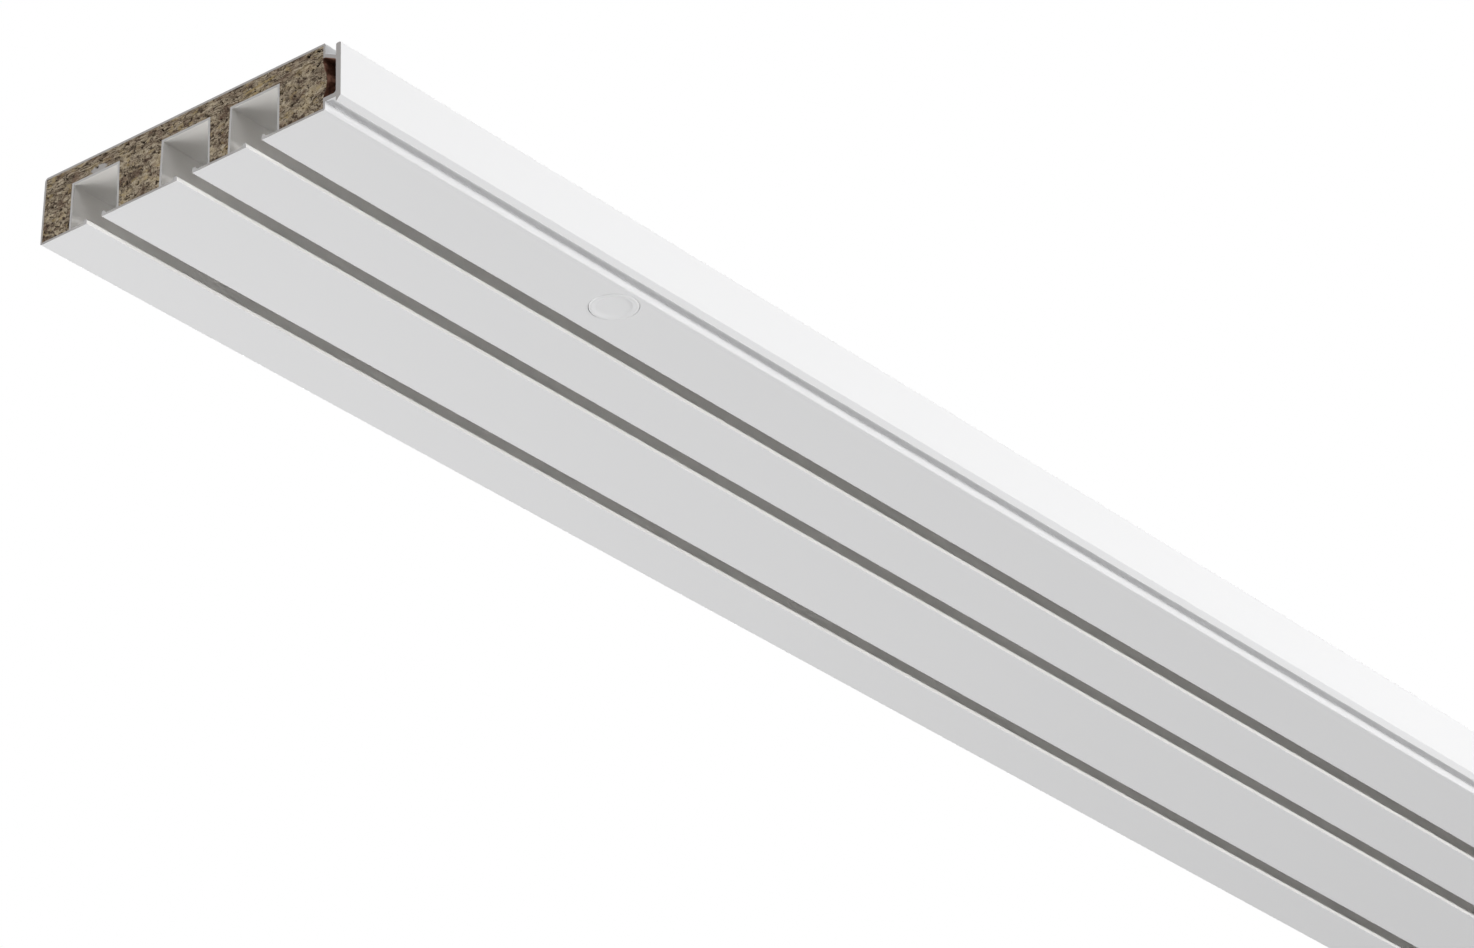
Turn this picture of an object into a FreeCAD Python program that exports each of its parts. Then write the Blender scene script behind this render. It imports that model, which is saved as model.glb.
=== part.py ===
"""Three-lane ceiling curtain track: a grooved chipboard strip in a white plastic jacket.

Millimetres. X runs along the track, +Y to the window, -Y to the room, +Z up to the ceiling.
The origin is the middle of the ceiling face. Section sizes are measured from the board's lower
front edge: "across" towards the window and "up" from the underside.
"""
import FreeCAD, Part
import math
import os
import re

import Sketcher

# Driving dimensions: name, value, what it is
SIZES = (
    ("track_length", 1200.0, "length of the track"),
    ("board_width", 85.0, "front face to rear face at the ceiling, without the flange"),
    ("board_height", 17.1, "underside to ceiling face"),
    ("skin", 0.55, "thickness of the jacket's outer skins and lips"),
    ("lining", 0.6, "thickness of the jacket round a channel"),
    ("rear_lean", 0.95, "how far the rear face stands out at the underside"),
    ("rear_top_radius", 1.0, "rounding of the rear edge at the ceiling"),
    ("edge_radius", 0.4, "rounding of the other three long edges"),
    ("channel_width", 13.8, "clear width of a running channel"),
    ("channel_roof", 11.8, "underside to the roof of a channel"),
    ("channel_lean", 0.6, "how far a channel's rear wall leans out from the roof to the lip"),
    ("front_channel", 20.9, "front face to the middle of the front channel"),
    ("middle_channel", 41.6, "front face to the middle of the middle channel"),
    ("rear_channel", 15.8, "rear face at the ceiling to the middle of the rear channel"),
    ("slot_width", 5.0, "gap between the two lips of a channel"),
    ("bead_width", 1.1, "width of the bead along a lip"),
    ("bead_height", 1.25, "underside to the top of the bead"),
    ("bead_radius", 0.4, "rounding of the bead"),
    ("flange_gap", 3.15, "front face to the back of the flange"),
    ("flange_thickness", 1.4, "thickness of the flange"),
    ("flange_bottom", 0.9, "underside to the lower edge of the flange"),
    ("flange_top", 15.7, "underside to the upper edge of the flange"),
    ("flange_bevel", 1.2, "height of the bevel at the flange's lower outer edge"),
    ("flange_tip", 0.25, "flat below the bevel"),
    ("flange_top_radius", 0.4, "rounding of the flange's upper edges"),
    ("upper_web_height", 13.4, "underside to the lower face of the upper web, at the board"),
    ("upper_web_drop", 1.6, "fall of the upper web from the board to the flange"),
    ("upper_web_thickness", 0.9, "thickness of the upper web"),
    ("lower_web_height", 2.1, "underside to the lower face of the lower web"),
    ("lower_web_thickness", 1.1, "thickness of the lower web"),
    ("cap_count", 3, "number of screw holes and caps"),
    ("cap_end_distance", 105.6, "end of the track to the middle of its nearest cap"),
    ("cap_setback", 7.2, "front face to the middle of the caps"),
    ("cap_diameter", 11.8, "outside of a cap"),
    ("cap_gap", 0.08, "gap all round a cap in the skin"),
    ("cap_rise", 0.2, "how far the rim of a cap stands out below the underside"),
    ("cap_rim", 0.55, "width of the rim with its bevel"),
    ("cap_rim_bevel", 0.3, "bevel at the outer edge of the rim"),
    ("cap_dish_depth", 0.3, "rim to the middle of the dished face"),
    ("cap_dish_slope", 1.6, "width of the slope from the rim to the flat middle"),
    ("cap_plate", 0.8, "thickness of a cap behind its dished face"),
    ("skirt_height", 4.2, "underside to the end of the cap's skirt"),
    ("skirt_wall", 0.7, "thickness of the skirt"),
    ("skirt_gap", 0.05, "gap between the skirt and its counterbore"),
    ("counterbore_diameter", 10.0, "counterbore for the screw head and the skirt"),
    ("counterbore_depth", 8.0, "underside to the floor of the counterbore"),
    ("screw_hole_diameter", 5.0, "hole for the screw's shank"),
)
# The middles of the three channels, each from the face that it is set out from
CHANNELS = ("front_channel", "middle_channel", "board_width - rear_channel")

# The most that a bead's rounding takes of its rise above the lip, and of its width
BEAD_RISE_SHARE = 0.9
BEAD_WIDTH_SHARE = 0.45
# How near the middle of a long edge lies to the place that names it
EDGE_TOLERANCE = 1e-4

# Sketcher's names for a line's two ends, a circle's centre and the sketch's own origin
START, END, CENTRE = 1, 2, 3
ORIGIN = -1

doc = FreeCAD.newDocument("curtain_track")
sheet = doc.addObject("Spreadsheet::Sheet", "sizes")


def fill_sheet():
    """Writes each size with its name beside it and makes the name an alias of the cell."""
    for row, (alias, value, meaning) in enumerate(SIZES, start=1):
        sheet.set(f"A{row}", meaning)
        sheet.set(f"B{row}", str(value))
        sheet.setAlias(f"B{row}", alias)
    doc.recompute()


def size(alias):
    """Value of one cell, for the few places that need a number."""
    return float(sheet.get(alias))


def bound(expression):
    """The same expression with each size written as a reference to its cell."""
    known = {alias for alias, _, _ in SIZES}

    def reference(word):
        return f"sizes.{word[0]}" if word[0] in known else word[0]

    return re.sub(r"[a-z_]+", reference, expression)


def new_sketch(body, name, plane, offset):
    """Sketch on one of the body's own origin planes, its origin moved by three expressions."""
    sketch = body.newObject("Sketcher::SketchObject", name)
    feature = next(f for f in body.Origin.OriginFeatures if f.Role == plane)
    sketch.AttachmentSupport = [(feature, "")]
    sketch.MapMode = "FlatFace"
    for axis, expression in zip("xyz", offset):
        sketch.setExpression(f"AttachmentOffset.Base.{axis}", bound(expression))
    return sketch


def section_sketch(body, name):
    """Sketch of the cross-section, with its origin at the board's lower front edge."""
    return new_sketch(body, name, "YZ_Plane", ("- board_width / 2", "- board_height", "0"))


def plan_sketch(body, name, height):
    """Sketch seen from above at a height, with its origin at the near end of the front face."""
    return new_sketch(body, name, "XY_Plane", ("- track_length / 2", "- board_width / 2", height))


def pin(sketch, geometry, point, across, up):
    """Holds one point of a sketch at two expressions."""
    for kind, expression in (("DistanceX", across), ("DistanceY", up)):
        constraint = Sketcher.Constraint(kind, ORIGIN, START, geometry, point, 1.0)
        number = sketch.addConstraint(constraint)
        sketch.renameConstraint(number, f"{kind}_{geometry}")
        sketch.setExpression(f"Constraints.{kind}_{geometry}", bound(expression))


def outline(sketch, corners):
    """Closed outline with straight sides through corners given as pairs of expressions."""
    first = sketch.GeometryCount
    count = len(corners)
    turn = 2 * math.pi / count
    rough = [FreeCAD.Vector(math.cos(turn * i), math.sin(turn * i), 0) for i in range(count)]
    for index in range(count):
        sketch.addGeometry(Part.LineSegment(rough[index], rough[(index + 1) % count]), False)
    for index in range(count):
        following = first + (index + 1) % count
        sketch.addConstraint(Sketcher.Constraint("Coincident", first + index, END, following, START))
    for index, (across, up) in enumerate(corners):
        pin(sketch, first + index, START, across, up)


def rectangle(sketch, left, right, low, high):
    """Upright rectangle between four expressions."""
    outline(sketch, ((left, low), (right, low), (right, high), (left, high)))


def hole_circles(sketch, diameter):
    """One circle for each screw place along the track."""
    for index in range(int(size("cap_count"))):
        circle = sketch.addGeometry(Part.Circle(FreeCAD.Vector(), FreeCAD.Vector(0, 0, 1), 1.0), False)
        pin(sketch, circle, CENTRE, cap_place(index), "cap_setback")
        number = sketch.addConstraint(Sketcher.Constraint("Diameter", circle, 1.0))
        sketch.renameConstraint(number, f"Diameter_{circle}")
        sketch.setExpression(f"Constraints.Diameter_{circle}", bound(diameter))


def cap_place(index):
    """Distance of one cap from the near end: the caps share the length evenly."""
    last = max(int(size("cap_count")) - 1, 1)
    return f"cap_end_distance + (track_length - 2 * cap_end_distance) * {index} / {last}"


def extrude(body, kind, name, sketch):
    """Pad or pocket of a section sketch over the whole length of the track."""
    feature = body.newObject(f"PartDesign::{kind}", name)
    feature.Profile = sketch
    feature.SideType = "Symmetric"
    feature.setExpression("Length", bound("track_length"))


def drill(body, name, sketch, depth, upward):
    """Pocket of a plan sketch by a depth, upward from the underside or down from the ceiling."""
    doc.recompute()
    before = body.Shape.Volume
    feature = body.newObject("PartDesign::Pocket", name)
    feature.Profile = sketch
    feature.Reversed = upward
    feature.setExpression("Length", bound(depth))
    doc.recompute()
    if body.Shape.Volume >= before:
        raise RuntimeError(f"{name} cuts nothing")


def long_edges(body, places):
    """Names of the edges that run along the track through places (across, up) in the section."""
    doc.recompute()
    found = []
    for across, up in places:
        place = FreeCAD.Vector(0, across - size("board_width") / 2, up - size("board_height"))
        names = [
            f"Edge{number}"
            for number, edge in enumerate(body.Shape.Edges, start=1)
            if edge.CenterOfMass.distanceToPoint(place) < EDGE_TOLERANCE
        ]
        if not names:
            raise RuntimeError(f"no long edge at {across:.3f}, {up:.3f}")
        found += names
    return found


def round_edges(body, name, places, radius):
    """Fillet of the long edges through the given places."""
    edges = long_edges(body, places)
    base = body.Tip
    fillet = body.newObject("PartDesign::Fillet", name)
    fillet.Base = (base, edges)
    fillet.setExpression("Radius", bound(radius))
    doc.recompute()
    if not fillet.isValid():
        raise RuntimeError(f"{name}: {fillet.getStatusString()}")


def add_front_flange(jacket):
    """Two webs from the front face and the flange that they carry."""
    sketch = section_sketch(jacket, "web_section")
    outline(sketch, (
        ("skin", "upper_web_height"),
        ("skin", "upper_web_height + upper_web_thickness"),
        ("0", "upper_web_height + upper_web_thickness"),
        ("- flange_gap", "upper_web_height + upper_web_thickness - upper_web_drop"),
        ("- flange_gap", "upper_web_height - upper_web_drop"),
        ("0", "upper_web_height"),
    ))
    rectangle(sketch, "- flange_gap", "skin", "lower_web_height", "lower_web_height + lower_web_thickness")
    extrude(jacket, "Pad", "webs", sketch)

    sketch = section_sketch(jacket, "flange_section")
    outline(sketch, (
        ("- flange_gap - flange_thickness", "flange_bottom + flange_bevel"),
        ("- flange_gap - flange_tip", "flange_bottom"),
        ("- flange_gap", "flange_bottom"),
        ("- flange_gap", "flange_top"),
        ("- flange_gap - flange_thickness", "flange_top"),
    ))
    extrude(jacket, "Pad", "flange", sketch)


def hollow_for_core(jacket):
    """Space for the core, and the window in the front skin between the two webs."""
    sketch = section_sketch(jacket, "core_space_section")
    outline(sketch, (
        ("skin", "skin"),
        ("board_width + rear_lean - skin", "skin"),
        ("board_width - skin", "board_height - skin"),
        ("skin", "board_height - skin"),
    ))
    extrude(jacket, "Pocket", "core_space", sketch)

    sketch = section_sketch(jacket, "window_section")
    rectangle(sketch, "0", "skin", "lower_web_height + lower_web_thickness", "upper_web_height")
    extrude(jacket, "Pocket", "front_window", sketch)


def channel_outline(sketch, middle, wall):
    """Outline of a channel from the lips up, its sides and roof moved out by a wall."""
    front = f"{middle} - channel_width / 2 - {wall}"
    rear = f"{middle} + channel_width / 2 + {wall}"
    outline(sketch, (
        (front, "skin"),
        (f"{rear} + channel_lean / 2", "skin"),
        (f"{rear} - channel_lean / 2", f"channel_roof + {wall}"),
        (front, f"channel_roof + {wall}"),
    ))


def add_channels(jacket):
    """The three lined channels, each open below through the slot between its two lips."""
    sketch = section_sketch(jacket, "lining_section")
    for middle in CHANNELS:
        channel_outline(sketch, middle, "lining")
    extrude(jacket, "Pad", "linings", sketch)

    sketch = section_sketch(jacket, "channel_section")
    for middle in CHANNELS:
        channel_outline(sketch, middle, "0")
    extrude(jacket, "Pocket", "channels", sketch)

    sketch = section_sketch(jacket, "slot_section")
    for middle in CHANNELS:
        rectangle(sketch, f"{middle} - slot_width / 2", f"{middle} + slot_width / 2", "0", "skin")
    extrude(jacket, "Pocket", "slots", sketch)

    sketch = section_sketch(jacket, "bead_section")
    for middle in CHANNELS:
        for side in ("-", "+"):
            tip, root = f"{middle} {side} slot_width / 2", f"{middle} {side} (slot_width / 2 + bead_width)"
            left, right = (root, tip) if side == "-" else (tip, root)
            rectangle(sketch, left, right, "0", "bead_height")
    extrude(jacket, "Pad", "beads", sketch)


def round_jacket(jacket):
    """Roundings of the beads, the board's long edges and the flange."""
    width, height = size("board_width"), size("board_height")
    middles = size("front_channel"), size("middle_channel"), width - size("rear_channel")
    tip = size("slot_width") / 2
    root = tip + size("bead_width")
    beads = [
        (middle + side * reach, size("bead_height"))
        for middle in middles for side in (-1, 1) for reach in (tip, root)
    ]
    rise = f"{BEAD_RISE_SHARE} * (bead_height - skin)"
    half = f"{BEAD_WIDTH_SHARE} * bead_width"
    round_edges(jacket, "bead_rounding", beads, f"min(bead_radius; {rise}; {half})")

    round_edges(jacket, "rear_top_rounding", [(width, height)], "rear_top_radius")
    rear = width + size("rear_lean")
    round_edges(jacket, "edge_rounding", [(0, 0), (0, height), (rear, 0)], "edge_radius")

    back = -size("flange_gap")
    face = back - size("flange_thickness")
    top = size("flange_top")
    round_edges(jacket, "flange_top_rounding", [(face, top), (back, top)], "flange_top_radius")


def make_jacket():
    """White plastic jacket: skins, channel linings, beaded lips, webs and flange in one extrusion."""
    jacket = doc.addObject("PartDesign::Body", "plastic_jacket")
    sketch = section_sketch(jacket, "envelope_section")
    outline(sketch, (
        ("0", "0"),
        ("board_width + rear_lean", "0"),
        ("board_width", "board_height"),
        ("0", "board_height"),
    ))
    extrude(jacket, "Pad", "envelope", sketch)
    add_front_flange(jacket)
    hollow_for_core(jacket)
    add_channels(jacket)
    round_jacket(jacket)

    sketch = plan_sketch(jacket, "cap_seat_plan", "- board_height")
    hole_circles(sketch, "cap_diameter + 2 * cap_gap")
    drill(jacket, "cap_seats", sketch, "skin", True)
    sketch = plan_sketch(jacket, "screw_plan", "0")
    hole_circles(sketch, "screw_hole_diameter")
    drill(jacket, "screw_holes", sketch, "skin", False)
    return jacket


def make_core():
    """Chipboard strip that fills the jacket, its front edge bare in the window between the webs."""
    core = doc.addObject("PartDesign::Body", "chipboard_core")
    sketch = section_sketch(core, "strip_section")
    outline(sketch, (
        ("skin", "skin"),
        ("board_width + rear_lean - skin", "skin"),
        ("board_width - skin", "board_height - skin"),
        ("skin", "board_height - skin"),
        ("skin", "upper_web_height"),
        ("0", "upper_web_height"),
        ("0", "lower_web_height + lower_web_thickness"),
        ("skin", "lower_web_height + lower_web_thickness"),
    ))
    extrude(core, "Pad", "strip", sketch)

    sketch = section_sketch(core, "groove_section")
    for middle in CHANNELS:
        channel_outline(sketch, middle, "lining")
    extrude(core, "Pocket", "grooves", sketch)

    sketch = plan_sketch(core, "counterbore_plan", "- board_height")
    hole_circles(sketch, "counterbore_diameter")
    drill(core, "counterbores", sketch, "counterbore_depth", True)
    sketch = plan_sketch(core, "screw_plan", "0")
    hole_circles(sketch, "screw_hole_diameter")
    drill(core, "screw_holes", sketch, "board_height", False)
    return core


def make_cap(index):
    """Round cap, dished below, that seats on the core inside its hole in the lower skin."""
    cap = doc.addObject("PartDesign::Body", f"cover_cap_{index + 1}")
    outer = "cap_diameter / 2"
    skirt = "counterbore_diameter / 2 - skirt_gap"
    face = "cap_dish_depth - cap_rise"
    back = f"{face} + cap_plate"
    sketch = new_sketch(cap, f"cap_profile_{index + 1}", "XZ_Plane", ("0", "0", "0"))
    outline(sketch, (
        ("0", face),
        (f"{outer} - cap_rim - cap_dish_slope", face),
        (f"{outer} - cap_rim", "- cap_rise"),
        (f"{outer} - cap_rim_bevel", "- cap_rise"),
        (outer, "cap_rim_bevel - cap_rise"),
        (outer, "skin"),
        (skirt, "skin"),
        (skirt, "skirt_height"),
        (f"{skirt} - skirt_wall", "skirt_height"),
        (f"{skirt} - skirt_wall", back),
        ("0", back),
    ))
    turned = cap.newObject("PartDesign::Revolution", f"cap_turning_{index + 1}")
    turned.Profile = sketch
    turned.ReferenceAxis = (sketch, ["V_Axis"])
    turned.Angle = 360.0
    cap.setExpression("Placement.Base.x", bound(f"{cap_place(index)} - track_length / 2"))
    cap.setExpression("Placement.Base.y", bound("cap_setback - board_width / 2"))
    cap.setExpression("Placement.Base.z", bound("- board_height"))
    return cap


def check(pieces):
    """Stops if any object failed or any piece is empty or not a valid solid."""
    for item in doc.Objects:
        if "Invalid" in item.State or "Error" in item.State:
            raise RuntimeError(f"{item.Label} failed: {item.State}")
    for piece in pieces:
        shape = piece.Shape
        if shape.isNull() or not shape.isValid() or len(shape.Solids) != 1:
            raise RuntimeError(f"{piece.Label} is not one valid solid")


def write(pieces):
    """One STEP file for each piece, named by its label."""
    os.makedirs("parts", exist_ok=True)
    for piece in pieces:
        piece.Shape.exportStep(f"parts/{piece.Label}.step")
        print(f"{piece.Label}: {piece.Shape.Volume / 1000:.2f} cm3, {len(piece.Shape.Faces)} faces")


fill_sheet()
track_pieces = [make_jacket(), make_core()]
track_pieces += [make_cap(index) for index in range(int(size("cap_count")))]
doc.recompute()
check(track_pieces)
write(track_pieces)
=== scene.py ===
"""Three-lane ceiling curtain track: a white plastic jacket on a chipboard core, with screw caps.

Metres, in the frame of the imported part: X along the track, -Y to the room, +Z up to the ceiling.
Section sizes are measured from the board's lower front edge: "across" to the window, "up" from
the underside.
"""
import math
import random
from functools import reduce

import bmesh
import bpy
from bpy.props import FloatProperty, FloatVectorProperty, PointerProperty
from mathutils import Matrix, Vector, geometry, noise


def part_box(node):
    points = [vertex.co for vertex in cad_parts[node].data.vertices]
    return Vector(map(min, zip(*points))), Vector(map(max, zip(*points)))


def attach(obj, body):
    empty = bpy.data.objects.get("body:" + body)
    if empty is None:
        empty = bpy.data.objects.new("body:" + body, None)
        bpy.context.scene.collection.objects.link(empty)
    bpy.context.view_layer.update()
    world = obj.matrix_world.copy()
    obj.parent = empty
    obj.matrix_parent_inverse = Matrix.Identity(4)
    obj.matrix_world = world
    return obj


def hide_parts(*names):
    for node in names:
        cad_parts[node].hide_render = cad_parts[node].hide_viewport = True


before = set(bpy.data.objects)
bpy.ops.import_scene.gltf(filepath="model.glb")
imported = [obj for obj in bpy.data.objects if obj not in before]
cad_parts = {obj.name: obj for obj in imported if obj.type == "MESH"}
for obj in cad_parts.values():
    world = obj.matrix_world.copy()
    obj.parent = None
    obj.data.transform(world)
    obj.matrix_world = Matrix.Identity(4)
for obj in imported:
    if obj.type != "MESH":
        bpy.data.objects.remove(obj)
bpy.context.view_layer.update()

bl_info = {
    "name": "Curtain Track",
    "version": (1, 0, 0),
    "blender": (4, 5, 0),
    "location": "3D View > Sidebar > Curtain Track",
    "description": "Builds a three-lane ceiling curtain track and a white studio round it",
    "category": "Object",
}

MM = 0.001
BODY = "root"
JACKET_LOW, JACKET_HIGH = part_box("plastic_jacket")
CORE_LOW, CORE_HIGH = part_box("chipboard_core")
CAP_NODES = sorted(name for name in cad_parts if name.startswith("cover_cap"))
CAP_LOW, CAP_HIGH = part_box(CAP_NODES[0])
CAP_RADIUS = (CAP_HIGH.x - CAP_LOW.x) / 2

# The board's front face and underside, from which the section is measured
FRONT = CORE_LOW.y
UNDERSIDE = JACKET_LOW.z
NEAR_END = JACKET_LOW.x
FAR_END = JACKET_HIGH.x
BOARD_WIDTH = -2 * FRONT
BOARD_HEIGHT = JACKET_HIGH.z - UNDERSIDE

# The photo's frame and the focal length solved from the track's long edges, in pixels
PHOTO_WIDTH = 1474
FOCAL_PIXELS = 5944.28
SENSOR_WIDTH = 36.0

# How finely round stretches are drawn
ARC_STEPS = 7
SUPPORT = 0.03 * MM
CAP_STEPS = 120
HOLE_STEPS = 96
SHARP_ANGLE = math.radians(32)

# The jacket's finishes by material slot, how near a face lies to its zone, and what faces an end
OUTSIDE, LINING, POCKET, SLOT_SHADE = range(4)
ZONE_MARGIN = 0.15 * MM
END_FACING = 0.5

# The core's finishes by material slot
SAWN, BONDED = range(2)

# The core's bare edge: its rows, those that fade to the webs, the sag of its swell, and its waves
EDGE_ROWS = 40
EDGE_FADE = 4
EDGE_SAG = 1.45
EDGE_WAVE = 2.2 * MM
EDGE_FINE_WAVE = 0.6 * MM
EDGE_FINE_SHARE = 0.4

# The core's sawn ends: rings that follow each of them closely
CLOSE_RINGS = 24

# The net on a sawn end: jitter of its points in grid steps, what it fills, and when points are one
NET_JITTER = 0.35
NET_INSIDE_BORDER = 1
NET_WELD = 1e-7

# Noise that tears the sawn ends: width and height of a wave in millimetres, and its layer
TORN_CHIPS = (1.4, 0.6, 0)
TORN_GAPS = (1.6, 0.8, 7)
FINE_GAPS = (0.6, 0.4, 3)
FINE_GAP_SHARE = 0.5
PIT_START = 0.45
PIT_RISE = 0.2

# Patterns of the finishes: length of a wave or cell along X, Y and Z, in millimetres
DIE_LINES = (400, 0.7, 0.7)
CLOUDS = (70, 16, 16)
PLASTIC_GRAIN = (0.45, 0.45, 0.45)
SCRATCHES = (1.1, 1.1, 0.2)
CRUMBS = (6, 1.5, 1.5)
SHADE_SMEARS = (2.5, 1.2, 1.2)
SHADE_SPECKS = (0.4, 0.4, 0.4)
CHIP_SWAY = (3.5, 3.5, 2.4)
CHIP_FRAY = (0.6, 0.6, 0.45)
CHIPS = (1.2, 1.2, 0.65)
FLAKES = (0.45, 0.5, 0.3)
STREAKS = (3.0, 3.6, 0.3)
WOOD_GRAIN = (0.3, 0.3, 0.22)
CHIP_GAPS = (1.0, 1.0, 0.7)
PATCHES = (5.0, 5.0, 3.0)
FLOOR_CLOUDS = (1000 / 3, 1000 / 3, 1000 / 3)

# Detail of the finer noises, and the middle of what any noise gives
FINE = 3.0
NOISE_MIDDLE = 0.5

# Roughness of the satin jacket and of the smoother caps
SATIN = 0.47
GLOSS = 0.3

# Reflection and bump of the dull finishes: the pocket's painted shade and chipboard
DULL_SPECULAR = 0.25
DULL_BUMP = 0.6

WHITE = (1, 1, 1)
BLACK = (0, 0, 0)

# Sockets of a Mix node that mixes colours
MIX_FACTOR, MIX_FIRST, MIX_SECOND, MIX_RESULT = 0, 6, 7, 2

# Rays that see a thing itself, not the light that it throws
SEEING_RAYS = ("Is Camera Ray", "Is Glossy Ray", "Is Transmission Ray")

FLOOR_RADIUS = 45.0
FLOOR_STEPS = 64
VIEW_REACH = 4 * FLOOR_RADIUS
SOFT_BOXES = ("key", "high", "under", "back", "top")


def length(name, description, millimetres):
    """A property that holds a length, its default given in millimetres."""
    return FloatProperty(
        name=name, description=description, default=millimetres * MM, unit="LENGTH", precision=5
    )


def colour(name, description, red, green, blue):
    """A property that holds a colour, its default given in linear light."""
    return FloatVectorProperty(
        name=name, description=description, default=(red, green, blue), subtype="COLOR", min=0, max=1
    )


def level(name, description, value):
    """A property that holds a plain number, zero or more."""
    return FloatProperty(name=name, description=description, default=value, min=0)


def place(name, description, x, y, z):
    """A property that holds a point in metres."""
    return FloatVectorProperty(
        name=name, description=description, default=(x, y, z), subtype="TRANSLATION", unit="LENGTH"
    )


class SectionSizes(bpy.types.PropertyGroup):
    """Sizes of the cross-section that the jacket and the core share."""

    skin: length("Skin", "Thickness of the outer skins and lips", (JACKET_HIGH.z - CORE_HIGH.z) / MM)
    lining: length("Lining", "Thickness of the plastic round a channel", 0.6)
    channel_width: length("Channel width", "Clear width of a running channel", 13.8)
    channel_roof: length("Channel roof", "Underside to the roof of a channel", 11.8)
    channel_lean: length("Channel lean", "How far a channel's rear wall leans out to the lip", 0.6)
    front_channel: length("Front channel", "Front face to the middle of the front channel", 20.9)
    middle_channel: length("Middle channel", "Front face to the middle of the middle channel", 41.6)
    rear_channel: length("Rear channel", "Rear face to the middle of the rear channel", 15.8)
    slot_width: length("Slot width", "Gap between the two lips of a channel", 4.6)
    bead_width: length("Bead width", "Width of the bead along a lip", 1.1)
    bead_height: length("Bead height", "Underside to the top of the bead", 1.25)
    bead_radius: length("Bead radius", "Rounding of the bead", 0.4)
    flange_thickness: length("Flange thickness", "Thickness of the front flange", 1.4)
    flange_bottom: length("Flange bottom", "Underside to the lower edge of the flange", 0.9)
    flange_top: length("Flange top", "Underside to the upper edge of the flange", 15.7)
    flange_bevel: length("Flange bevel", "Height of the bevel at the flange's lower edge", 1.2)
    flange_tip: length("Flange tip", "Flat below the bevel", 0.25)
    flange_top_radius: length("Flange top radius", "Rounding of the flange's upper edges", 0.4)
    upper_web: length("Upper web", "Underside to the lower face of the upper web, at the board", 13.4)
    upper_web_drop: length("Upper web drop", "Fall of the upper web to the flange", 1.6)
    upper_web_thickness: length("Upper web thickness", "Thickness of the upper web", 0.9)
    lower_web: length("Lower web", "Underside to the lower face of the lower web", 2.1)
    lower_web_thickness: length("Lower web thickness", "Thickness of the lower web", 1.1)
    rear_lean: length(
        "Rear lean", "How far the rear face stands out at the underside", (JACKET_HIGH.y + FRONT) / MM
    )
    rear_top_radius: length("Rear top radius", "Rounding of the rear edge at the ceiling", 1.0)
    edge_radius: length("Edge radius", "Rounding of the other three long edges", 0.4)
    inner_radius: length("Inner radius", "Rounding of inner corners and lip edges", 0.12)
    pocket_radius: length("Pocket radius", "Rounding inside the pocket behind the flange", 0.7)


class CapSizes(bpy.types.PropertyGroup):
    """Sizes of the screw caps and of the holes that they close."""

    seat_gap: length("Seat gap", "Gap all round a cap in the lower skin", 0.08)
    rise: length("Rise", "How far the rim stands out below the underside", (UNDERSIDE - CAP_LOW.z) / MM)
    rim: length("Rim", "Width of the rim with its rounding", 0.75)
    rim_radius: length("Rim radius", "Rounding at the outer edge of the rim", 0.45)
    dish_depth: length("Dish depth", "Rim to the flat middle of the face", 0.42)
    dish_slope: length("Dish slope", "Width of the slope from the rim to the middle", 0.9)
    dish_radius: length("Dish radius", "Rounding at both ends of the slope", 0.9)
    plate: length("Plate", "Thickness of a cap behind its face", 0.8)
    skirt_height: length("Skirt height", "Underside to the end of the skirt", 4.2)
    skirt_wall: length("Skirt wall", "Thickness of the skirt", 0.7)
    skirt_radius: length("Skirt radius", "Rounding of the skirt's edges", 0.15)
    skirt_gap: length("Skirt gap", "Gap between the skirt and its counterbore", 0.05)
    counterbore: length("Counterbore", "Diameter of the hole for the screw head", 10.0)
    counterbore_depth: length("Counterbore depth", "Underside to the counterbore's floor", 8.0)
    screw_hole: length("Screw hole", "Diameter of the hole for the shank", 5.0)


class BoardSizes(bpy.types.PropertyGroup):
    """How the chipboard's sawn ends and bare edge are broken up."""

    grid: length("Grid", "Spacing of the points on a sawn end", 0.28)
    chip_relief: length("Chip relief", "How far the saw tore the chips back", 0.12)
    pit_depth: length("Pit depth", "Depth of the gaps between the chips", 0.7)
    edge_relief: length("Edge relief", "Roughness of the bare front edge", 0.6)
    edge_bulge: length("Edge bulge", "How far the bare edge swells between the webs", 0.5)
    smear_across: length("Smear across", "Front face to the smear of plastic on the near end", 68.1)
    smear_up: length("Smear up", "Underside to the smear of plastic", 13.1)
    smear_width: length("Smear width", "Width of the smear of plastic", 5.0)
    smear_height: length("Smear height", "Height of the smear of plastic", 1.8)
    long_chip_across: length("Long chip across", "Front face to the long ochre chip's middle", 19.4)
    long_chip_up: length("Long chip up", "Underside to the long ochre chip's middle", 14.35)
    long_chip_width: length("Long chip width", "Width of the long ochre chip", 10.5)
    long_chip_rise: length("Long chip rise", "How much higher its front tip lies than its middle", 0.65)
    long_chip_height: length("Long chip height", "Height of the long ochre chip", 0.5)


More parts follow.
